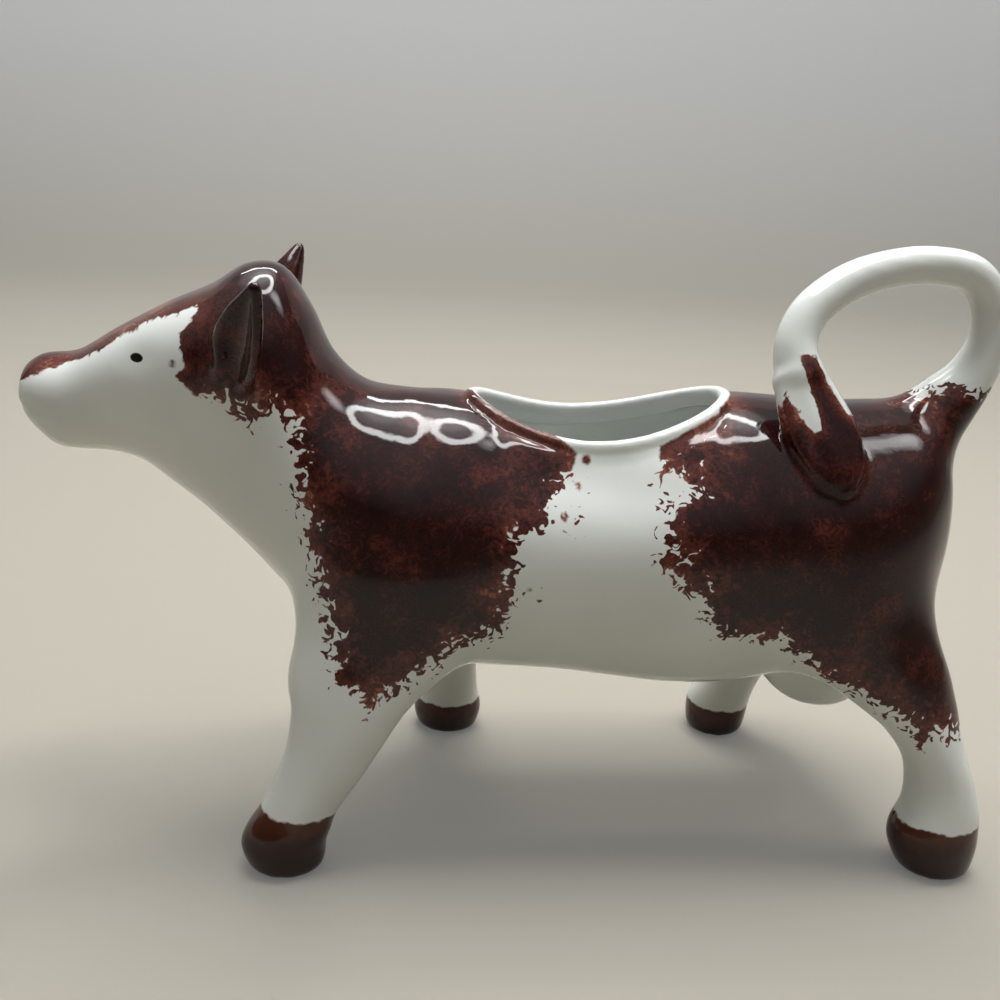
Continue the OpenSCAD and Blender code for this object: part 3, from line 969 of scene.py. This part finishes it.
# One part of the fused skin as a closed piece, with its paint and its smooth shading
def makePiece(name, pieceName, points, faces, normals, painted, forms, material):
    used = np.unique(faces)
    at = np.full(len(points), -1)
    at[used] = np.arange(len(used))
    newPoints, newFaces = points[used].tolist(), at[faces].tolist()
    neck = np.mean(trunkEnds(np.array(trunk["rows"][trunk["neckRow"]])), axis=0)
    depth = slip["shellPlug"] if name in shells else slip["partPlug"]
    seams = []
    for loop in openLoops(faces):
        offNeck = np.hypot(*(points[loop].mean(0)[[0, 2]] - neck))
        if name in shells and offNeck < slip["seamNear"]:
            seams.append(at[loop].tolist())
        else:
            plugHole(points, loop, forms, depth, newPoints, newFaces, at)
    mesh = bpy.data.meshes.new(pieceName)
    mesh.from_pydata((np.array(newPoints) * mm).tolist(), [], newFaces)
    if len(seams) == 2:
        bridgeSeam(mesh, seams)
    mesh.shade_smooth()
    for key, values in painted.items():
        layer = mesh.attributes.new(key, "FLOAT", "POINT")
        filled = np.full(len(mesh.vertices), float(values[used].min()))
        filled[: len(used)] = values[used]
        layer.data.foreach_set("value", filled)
    facing = fetched(mesh.vertices, "normal", 3)
    facing[: len(used)] = normals[used]
    mesh.normals_split_custom_set_from_vertices(facing.tolist())
    mesh.materials.append(material)
    piece = addToScene(pieceName, mesh)
    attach(piece, "root")
    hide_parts(name)
    return piece


# The painting, as outlines on each side seen square on: x and z in millimetres, brown inside.
# The front one runs from the back over the neck, cheek and muzzle, and is closed over the head.
paint = {
    "leftFront": [
        [5.6, 120], [5.6, 75.7], [7.9, 73.7], [6.8, 70.2], [4.6, 67.0], [1.2, 62.9], [-2.2, 61.4],
        [-1.6, 58.1], [-3.4, 54.7], [-2.4, 52.9], [-3.0, 49.5], [-4.5, 44.5], [-9.4, 43.2],
        [-13.2, 40.5], [-15.8, 37.8], [-19.6, 36.2], [-23.3, 33.3], [-25.6, 31.9], [-27.9, 34.6],
        [-30.2, 35.6], [-31.5, 40], [-33.5, 50], [-36, 60], [-38, 68], [-38.9, 76.9], [-40.7, 78.8],
        [-43.5, 80.5], [-45.3, 77.5], [-48.3, 78.8], [-48.9, 80.7], [-53.7, 80.4], [-55.6, 82.0],
        [-57.8, 84.1], [-56.2, 85.6], [-56.7, 88.0], [-57.5, 90.3], [-54.6, 93.9], [-55.1, 94.3],
        [-59.3, 92.7], [-63.4, 91.3], [-67.3, 89.0], [-70.8, 86.4], [-75.0, 84.2], [-80.7, 82.2],
        [-85.5, 80.0], [-95, 80], [-95, 120],
    ],
    "rightFront": [
        [5.6, 120], [5.6, 76.5], [8.4, 72.0], [3.1, 69.2], [5.2, 64.0], [-0.8, 60.6], [0.4, 56.2],
        [-5.1, 51.9], [-3.7, 46.8], [-10.2, 45.1], [-12.4, 40.2], [-18.8, 41.7], [-22.0, 36.6],
        [-27.4, 39.3], [-31.0, 45.2], [-32.2, 54.1], [-36.9, 60.3], [-37.6, 69.8], [-40.1, 75.2],
        [-44.8, 76.9], [-47.2, 80.6], [-52.8, 79.1], [-56.9, 83.0], [-55.4, 87.1], [-57.9, 91.0],
        [-54.6, 93.9], [-55.1, 94.3], [-59.0, 93.0], [-63.8, 91.0], [-67.1, 89.2], [-71.2, 86.2],
        [-75.0, 84.4], [-80.7, 82.2], [-85.5, 80.0], [-95, 80], [-95, 120],
    ],
    "leftRear": [
        [36, 90], [32.7, 80.0], [26.9, 77.8], [21.6, 75.3], [21.2, 71.7], [27.5, 69.7], [21.6, 65.8],
        [22.5, 61.8], [25.3, 59.3], [21.8, 58.4], [24.7, 55.4], [26.6, 53.7], [30.0, 53.4],
        [30.3, 48.7], [32.7, 45.8], [35.3, 44.9], [40.7, 44.4], [44.2, 45.0], [49.5, 40.0],
        [54.7, 35.8], [59.7, 34.0], [65.1, 31.8], [68.4, 29.2], [70.3, 27.2], [72.7, 29.6],
        [77.2, 26.6], [79.0, 27.3], [95, 30], [95, 84.2], [80.0, 84.6], [79.1, 85.6], [77.7, 85.9],
        [76.6, 86.0], [75.8, 86.7], [73.8, 85.7], [72.5, 84.6], [71.3, 83.4], [66, 86],
    ],
    "rightRear": [
        [36, 90], [33.4, 80.4], [29.2, 76.1], [31.0, 72.6], [24.8, 68.3], [28.3, 64.4], [23.9, 60.9],
        [28.8, 56.2], [27.2, 51.6], [33.8, 49.9], [36.1, 45.1], [43.0, 46.8], [47.7, 41.2],
        [52.6, 42.8], [58.0, 36.4], [64.3, 34.7], [68.8, 30.2], [74.1, 31.9], [78.0, 27.6], [95, 30],
        [95, 84.2], [80.0, 84.6], [79.1, 85.6], [77.7, 85.9], [75.8, 86.7], [73.8, 85.7], [72.5, 84.6],
        [71.3, 83.4], [66, 86],
    ],
    "brushTip": [
        [45.5, 91.5], [47.5, 90.6], [50, 86], [53, 82], [57, 80.4], [62, 78], [62, 60], [38, 60],
        [42.3, 84.9], [43.2, 83.3], [44.2, 81.7], [45.4, 80.5], [46.7, 79.3], [47.8, 79.8],
        [47.4, 82.0], [46.7, 84.2], [45.8, 86.4], [45.0, 88.7], [44.5, 90.6],
    ],
    "specks": [[9.3, 72.7, 0.9], [7.9, 68.9, 0.7], [5.4, 64.7, 0.8], [0.2, 53.0, 0.6], [-58.1, 85.9, 0.7]],
    "eye": [-64.4, 86.1, 1.3, 0.8],
    "spongeEdge": 2.6,
    "lineEdge": 0.45,
    "speckEdge": 0.2,
    "rimEdge": 0.12,
    "rimShare": 1.1,
    "turnWidth": 8,  # the left outline goes over into the right one across this width of the back
    # below the flank the legs' inner sides stay white: from how far out the brown comes and how fast,
    # and above what height it comes faster, and by how much
    "flank": 60,
    "inner": (15, 1.5),
    "belly": (38, 7),
    "headEnd": -54,  # brushed lines ahead of it, and above the neck's line
    "neckLine": (-44, 87),
    "headDepth": 2,
    "tipDepth": 3,
    "tailFrom": (62, 86),
    "earDepth": 5,
    # near front of the rim, which the brown runs over: where it ends and fades along, then across the
    # back, and how much of the rim it takes
    "overRim": (5.4, 1.5, 1, 2, 0.85),
    "rimNear": (6, 1.5, 2.5),  # brown ends over this width, gains by this, and has an even edge so near
    "eyeFrom": 4,
}


# Distance from an outline in the side view, in millimetres, above zero inside it
def insideOf(outline, x, z):
    corners = np.array(outline, float)
    onward = np.roll(corners, -1, axis=0)
    least = np.full(len(x), 1e9)
    inside = np.zeros(len(x), bool)
    for (ax, az), (bx, bz) in zip(corners, onward):
        sx, sz = bx - ax, bz - az
        run = np.clip(((x - ax) * sx + (z - az) * sz) / (sx * sx + sz * sz), 0, 1)
        least = np.minimum(least, (x - ax - run * sx) ** 2 + (z - az - run * sz) ** 2)
        if az != bz:
            inside ^= ((az > z) != (bz > z)) & (x < (bx - ax) * (z - az) / (bz - az) + ax)
    return np.sqrt(least) * np.where(inside, 1, -1)


# Paint values at each point of the skin: how far inside the brown, how ragged its edge, hooves, eyes
def paintSkin(points, faces, parts, own):
    x, y, z = points.T
    far = slip["farOff"]
    turn = np.clip(0.5 + y / paint["turnWidth"], 0, 1)
    brown = np.full(len(points), -far)
    for end in ("Front", "Rear"):
        left, right = (insideOf(paint[side + end], x, z) for side in ("left", "right"))
        brown = np.maximum(brown, left * (1 - turn) + right * turn)
    (inner, fade), (belly, more) = paint["inner"], paint["belly"]
    inward = (np.abs(y) - inner) * fade + np.maximum(z - belly, 0) * more
    brown = np.minimum(brown, np.where(z < paint["flank"], inward, far))
    onHead = x < paint["headEnd"]
    neckX, neckZ = paint["neckLine"]
    lined = onHead | ((x < neckX) & (z > neckZ))
    ragged = np.where(lined, paint["lineEdge"], paint["spongeEdge"])
    ofPart = np.full(len(points), "", dtype=object)
    for name in sorted(set(parts)):  # at a seam the shells give way to the small parts
        ofPart[np.unique(faces[parts == name])] = name
    brown = np.where(onHead & (brown > 0), brown * paint["headDepth"], brown)
    for sx, sz, size in paint["specks"]:
        dot = np.where(y < 0, size - np.hypot(x - sx, z - sz), -far)
        brown = np.maximum(brown, dot)
        ragged = np.where(dot > -1, paint["speckEdge"], ragged)
    tip = insideOf(paint["brushTip"], x, z)
    tip = np.where(tip > 0, tip * paint["tipDepth"], tip)
    tailX, tailZ = paint["tailFrom"]
    onBar = ofPart == "tail_handle"
    onTail = (ofPart == "tail_brush") | (onBar & (x < tailX))
    brown = np.where(onTail, tip, brown)
    brown = np.where(onBar & (x >= tailX) & (z > tailZ), -far, brown)
    ragged = np.where(onTail, paint["lineEdge"], ragged)
    ears = (ofPart == "left_ear") | (ofPart == "right_ear")
    brown = np.where(ears, np.maximum(brown, paint["earDepth"]), brown)
    brown = np.where(own["inner"] < slip["hollowEdge"], -far, brown)
    end, fade, across, fadeAcross, most = paint["overRim"]
    overRim = np.clip((end - x) / fade, 0, 1) * np.clip((across - y) / fadeAcross, 0, 1)
    overMouth = mouthCut(points)[0] - mouth["rimRadius"] * paint["rimShare"] * (1 - most * overRim)
    reach, gain, even = paint["rimNear"]
    brown = np.minimum(brown, np.where(overMouth < reach, overMouth * gain, far))
    ragged = np.where(overMouth < even, paint["rimEdge"], ragged)
    hoof = np.full(len(points), -far)
    for name in legNames:
        hoof = np.where(ofPart == name, legs[name]["hoofTop"] - z, hoof)
    ex, ez, long, high = paint["eye"]
    onSide = np.abs(y) > paint["eyeFrom"]
    eye = np.where(onSide, 1 - np.hypot((x - ex) / long, (z - ez) / high), -9)
    return {"brown": brown, "ragged": ragged, "hoof": hoof, "eye": eye}


def colour(code, share=1.0):
    parts = [int(code[i : i + 2], 16) / 255 for i in (1, 3, 5)]
    return [(c / 12.92 if c <= 0.04045 else ((c + 0.055) / 1.055) ** 2.4) * share for c in parts] + [1.0]


# Colours of the glaze, the browns from a patch's edge to its middle. A noise has its size in
# millimetres, its detail, its twist, and how far it moves the value it is added to. A cover or a
# fade says where a coat begins and where it is full.
glaze = {
    "white": "#e6e9e5",
    "greyed": "#dcdfda",
    "browns": [(0, "#85503f"), (0.1, "#5f3027"), (0.3, "#50251d"), (0.58, "#2d1110"), (1, "#180808")],
    "hoof": "#2e140b",
    "hoofEdge": "#4c2516",
    "eye": "#120c0a",
    "blobs": (1.9, 1.2, 1.3, 1.15),
    "dabs": (4.6, 2, 0.6, 0.65),
    "clouds": (7.0, 3, 0, 0.34),
    "worms": (1.7, 3, 2.5, 0.24),
    "greying": (22, 2, 0, 1),
    "hoofRagged": (2.2, 2, 0, 0.35),
    "hoofMottled": (3.0, 3, 0, 1.2),
    "waves": (9, 2, 0, 0.6),
    "pits": (3.0, 2, 0, 0.12),
    "cover": (-0.15, 0.45),
    "deepening": (6.0, 0.085, 0.12),  # to this far inside a patch, by this each millimetre, from this
    "hoofCover": (-0.2, 0.3),
    "hoofFade": (0, 5),
    "eyeCover": (0, 0.2),
    "gloss": 0.06,
    "bump": {"Distance": 0.0001, "Strength": 0.5},
    "clearIor": 1.41,
    "brownIor": 1.34,
}


# Hard feldspathic glaze fired clear over sponged iron-brown: a wet gloss, with the colour lying
# under it thick and near black in the middle of a patch and thin and foxy at its edges
def spongedPorcelain(name, ior):
    material = bpy.data.materials.new(name)
    tree = freshTree(material)
    place = addNode(tree, "ShaderNodeTexCoord").outputs["Object"]
    inMm = addNode(tree, "ShaderNodeVectorMath", {0: place, "Scale": 1 / mm}, operation="SCALE").outputs[0]

    # Adds a noise to a value; by itself it is spread to about -1 to 1
    def grained(kind, start=0.0):
        size, detail, twist, share = glaze[kind]
        links = {"Vector": inMm, "Scale": 1 / size, "Detail": detail, "Distortion": twist}
        spots = addNode(tree, "ShaderNodeTexNoise", links | {"Roughness": 0.55}).outputs["Fac"]
        for by, to in ((4.0, -2.0), (share, start)):
            links = {0: spots, 1: by, 2: to}
            spots = addNode(tree, "ShaderNodeMath", links, operation="MULTIPLY_ADD").outputs[0]
        return spots

    # Lays a coat over what is under it, where an amount rises from low to high
    def coated(under, coat, amount, low, high):
        links = {"Value": amount, "From Min": low, "From Max": high}
        share = addNode(tree, "ShaderNodeMapRange", links, interpolation_type="SMOOTHSTEP").outputs[0]
        links = {"Factor": share, 6: under, 7: coat}
        return addNode(tree, "ShaderNodeMix", links, data_type="RGBA").outputs[2]

    tone = {key: colour(glaze[key]) for key in ("white", "greyed", "hoof", "hoofEdge", "eye")}
    layer = {}
    for key in ("brown", "ragged", "hoof", "eye"):
        layer[key] = addNode(tree, "ShaderNodeAttribute", attribute_name=key).outputs["Fac"]
    links = {0: grained("blobs", grained("dabs")), 1: layer["ragged"], 2: layer["brown"]}
    edge = addNode(tree, "ShaderNodeMath", links, operation="MULTIPLY_ADD").outputs[0]
    most, gain, least = glaze["deepening"]
    deep = addNode(tree, "ShaderNodeMath", {0: edge, 1: most}, operation="MINIMUM").outputs[0]
    links = {0: deep, 1: gain, 2: least}
    deep = addNode(tree, "ShaderNodeMath", links, operation="MULTIPLY_ADD").outputs[0]
    browns = addNode(tree, "ShaderNodeValToRGB", {0: grained("worms", grained("clouds", deep))})
    setStops(browns.color_ramp, [(at, colour(code)) for at, code in glaze["browns"]])
    base = coated(tone["white"], tone["greyed"], grained("greying"), -1, 1)
    base = coated(base, browns.outputs[0], edge, *glaze["cover"])
    hoofEdge = grained("hoofRagged", layer["hoof"])
    mottled = grained("hoofMottled", hoofEdge)
    hoofCoat = coated(tone["hoofEdge"], tone["hoof"], mottled, *glaze["hoofFade"])
    base = coated(base, hoofCoat, hoofEdge, *glaze["hoofCover"])
    base = coated(base, tone["eye"], layer["eye"], *glaze["eyeCover"])
    links = {"Height": grained("waves", grained("pits"))} | glaze["bump"]
    bump = addNode(tree, "ShaderNodeBump", links).outputs[0]
    links = {"Base Color": base, "Roughness": glaze["gloss"], "IOR": ior, "Normal": bump}
    shader = addNode(tree, "ShaderNodeBsdfPrincipled", links)
    addNode(tree, "ShaderNodeOutputMaterial", {0: shader.outputs[0]})
    return material


porcelain = spongedPorcelain("spongedPorcelain", glaze["clearIor"])
oxblood = spongedPorcelain("oxbloodBrownGlaze", glaze["brownIor"])

# The fine parts get smaller faces. The coarse skin's squares are wider by the factor coarser.
pot = {
    "voxel": 0.76,
    "coarser": 1.6,
    "fine": ["left_ear", "right_ear", "tail_brush", "rolled_rim"],
    "spongePasses": 3,
    "brown": ["left_ear", "right_ear", "tail_brush"],
    "pieces": {
        "body_shell": "bodyShell",
        "head_shell": "headShell",
        "left_front_leg": "leftFrontLeg",
        "right_front_leg": "rightFrontLeg",
        "left_hind_leg": "leftHindLeg",
        "right_hind_leg": "rightHindLeg",
        "udder": "udderBag",
        "left_ear": "leftEar",
        "right_ear": "rightEar",
        "tail_handle": "tailHandle",
        "tail_brush": "tailBrush",
    },
}
forms = makeForms(porcelain)
print("Forms made:", len(forms))
points, faces, own = fireSkin(forms, pot["voxel"], pot["coarser"], pot["fine"], pot["spongePasses"])
print("Skin fired:", len(faces), "faces")
parts = tidyParts(faces, partOf(points, faces, own))
normals = skinNormals(points, faces)
painted = paintSkin(points, faces, parts, own)
print("Skin painted")
for name, pieceName in pot["pieces"].items():
    slot, coat = ("brown_glaze", oxblood) if name in pot["brown"] else ("white_glaze", porcelain)
    piece = makePiece(name, pieceName, points, faces[parts == name], normals, painted, forms, coat)
    print(pieceName, len(piece.data.polygons))
print("Pieces made:", len(pot["pieces"]))

stage = {
    "floor": "#979184",
    "wall": "#eceef0",
    "toneRise": 0.4,  # height at which the floor's tone has gone over into the wall's
    "shown": (0.12, 0.28),  # added for the camera to the floor and to the wall
    "halfWidth": 2.2,
    "front": -2.5,
    "back": 1.2,
    "height": 1.1,
    "bend": 0.5,
    # light tent from the horizon up: sine of the height, colour and level
    "tent": [(0, "#e9dcc4", 0.26), (0.14, "#e9dcc4", 0.15), (0.36, "#e9e4da", 0.1), (1, "#f2f5f7", 0.85)],
    "room": ("#e4e6e8", 0.50),
    # place and aim in metres, width and depth, watts, and how bright it is from its middle out
    "lamps": [
        ["ringLamp", (0.045, 0.12, 0.62), (0, 0, 0.06), (0.42, 0.42), 9.5,
         [(0.25, 0.03), (0.33, 1), (0.42, 1), (0.49, 0)]],
        ["softTop", (0.0, 0.45, 1.0), (0, 0, 0.05), (1.0, 1.0), 9.0,
         [(0.0, 1), (0.15, 0.9), (0.35, 0.35), (0.5, 0)]],
        ["softSide", (0.385, 0.06, 0.58), (0.06, 0, 0.07), (0.22, 0.46), 2.6,
         [(0.0, 1), (0.2, 0.8), (0.36, 0.3), (0.5, 0)]],
        ["ridgeStrip", (-0.08, 0.62, 0.66), (-0.02, 0, 0.07), (0.55, 0.05), 1.1, []],
    ],
    "camera": [(-0.0192, -0.1881, 0.1230), (0.99642, -0.06525, 0.05377), (-0.03018, 0.31966, 0.94705)],
    "sensor": 36,
    "lens": 39.16,
}


# Matt photo paper, deeper in tone on the floor than on the wall behind
def matteMaterial(name):
    material = bpy.data.materials.new(name)
    tree = freshTree(material)
    place = addNode(tree, "ShaderNodeTexCoord").outputs["Object"]
    height = addNode(tree, "ShaderNodeSeparateXYZ", {0: place}).outputs[2]
    links = {"Value": height, "From Min": 0.0, "From Max": stage["toneRise"]}
    rise = addNode(tree, "ShaderNodeMapRange", links).outputs[0]
    rays = addNode(tree, "ShaderNodeLightPath").outputs
    seen = rays["Is Camera Ray"]
    for ray in ("Is Glossy Ray", "Is Transmission Ray"):
        seen = addNode(tree, "ShaderNodeMath", {0: seen, 1: rays[ray]}, operation="MAXIMUM").outputs[0]
    low, high = stage["shown"]
    links = {0: rise, 1: high - low, 2: low}
    level = addNode(tree, "ShaderNodeMath", links, operation="MULTIPLY_ADD").outputs[0]
    shown = addNode(tree, "ShaderNodeMath", {0: seen, 1: level}, operation="MULTIPLY").outputs[0]
    links = {"Factor": rise, 6: colour(stage["floor"]), 7: colour(stage["wall"])}
    tone = addNode(tree, "ShaderNodeMix", links, data_type="RGBA").outputs[2]
    links = {"Base Color": tone, "Roughness": 0.9, "Specular IOR Level": 0.1}
    links |= {"Emission Color": colour(stage["wall"]), "Emission Strength": shown}
    paper = addNode(tree, "ShaderNodeBsdfPrincipled", links)
    addNode(tree, "ShaderNodeOutputMaterial", {0: paper.outputs[0]})
    return material


# Makes a square lamp glow in rings, with soft edges
def softenLamp(lamp, rings):
    tree = freshTree(lamp)
    far = addNode(tree, "ShaderNodeNewGeometry").outputs["Parametric"]
    for kind, by in (("SUBTRACT", (0.5, 0.5, 0.0)), ("MULTIPLY", (1.0, 1.0, 0.0))):
        far = addNode(tree, "ShaderNodeVectorMath", {0: far, 1: by}, operation=kind).outputs[0]
    far = addNode(tree, "ShaderNodeVectorMath", {0: far}, operation="LENGTH").outputs["Value"]
    tone = addNode(tree, "ShaderNodeValToRGB", {0: far})
    tone.color_ramp.interpolation = "EASE"
    setStops(tone.color_ramp, [(at, (level, level, level, 1)) for at, level in rings])
    glow = addNode(tree, "ShaderNodeEmission", {"Color": tone.outputs[0], "Strength": 1.0})
    addNode(tree, "ShaderNodeOutputLight", {0: glow.outputs[0]})


def makeStage():
    half, back, bend = stage["halfWidth"], stage["back"], stage["bend"]
    shape = bmesh.new()
    curve = [(math.sin(a) * bend, (1 - math.cos(a)) * bend) for a in np.linspace(0, math.pi / 2, 13)]
    line = [(stage["front"], 0.0)] + [(back - bend + y, z) for y, z in curve] + [(back, stage["height"])]
    rows = [[shape.verts.new((x, y, z)) for x in (-half, half)] for y, z in line]
    for a, b in zip(rows, rows[1:]):
        shape.faces.new((a[0], a[1], b[1], b[0]))
    bmesh.ops.recalc_face_normals(shape, faces=shape.faces)
    mesh = bpy.data.meshes.new("paleSweep")
    shape.to_mesh(mesh)
    shape.free()
    mesh.shade_smooth()
    mesh.materials.append(matteMaterial("palePaper"))
    sweep = addToScene("paleSweep", mesh)
    for name, place, aim, (wide, deep), watts, rings in stage["lamps"]:
        lamp = bpy.data.lights.new(name, "AREA")
        lamp.shape, lamp.size, lamp.size_y, lamp.energy = "RECTANGLE", wide, deep, watts
        if rings:
            softenLamp(lamp, rings)
        holder = addToScene(name, lamp)
        holder.location = place
        holder.rotation_euler = (Vector(aim) - Vector(place)).to_track_quat("-Z", "Y").to_euler()
    world = bpy.data.worlds.new("lightTent")
    tree = freshTree(world)
    way = addNode(tree, "ShaderNodeTexCoord").outputs["Generated"]
    height = addNode(tree, "ShaderNodeSeparateXYZ", {0: way}).outputs[2]
    tent = addNode(tree, "ShaderNodeValToRGB", {0: height})
    setStops(tent.color_ramp, [(at, colour(code, level)) for at, code, level in stage["tent"]])
    seen = addNode(tree, "ShaderNodeLightPath").outputs["Is Camera Ray"]
    links = {"Factor": seen, 6: tent.outputs[0], 7: colour(*stage["room"])}
    shown = addNode(tree, "ShaderNodeMix", links, data_type="RGBA").outputs[2]
    glow = addNode(tree, "ShaderNodeBackground", {"Color": shown, "Strength": 1.0})
    addNode(tree, "ShaderNodeOutputWorld", {0: glow.outputs[0]})
    bpy.context.scene.world = world
    place, right, up = (Vector(v) for v in stage["camera"])
    lens = bpy.data.cameras.new("camera")
    lens.sensor_width, lens.lens = stage["sensor"], stage["lens"]
    camera = addToScene("camera", lens)
    turn = Matrix((right, up, right.cross(up))).transposed().to_4x4()
    camera.matrix_world = Matrix.Translation(place) @ turn
    bpy.context.scene.camera = camera
    bpy.context.scene.view_settings.view_transform = "Standard"


makeStage()
print("Stage set")
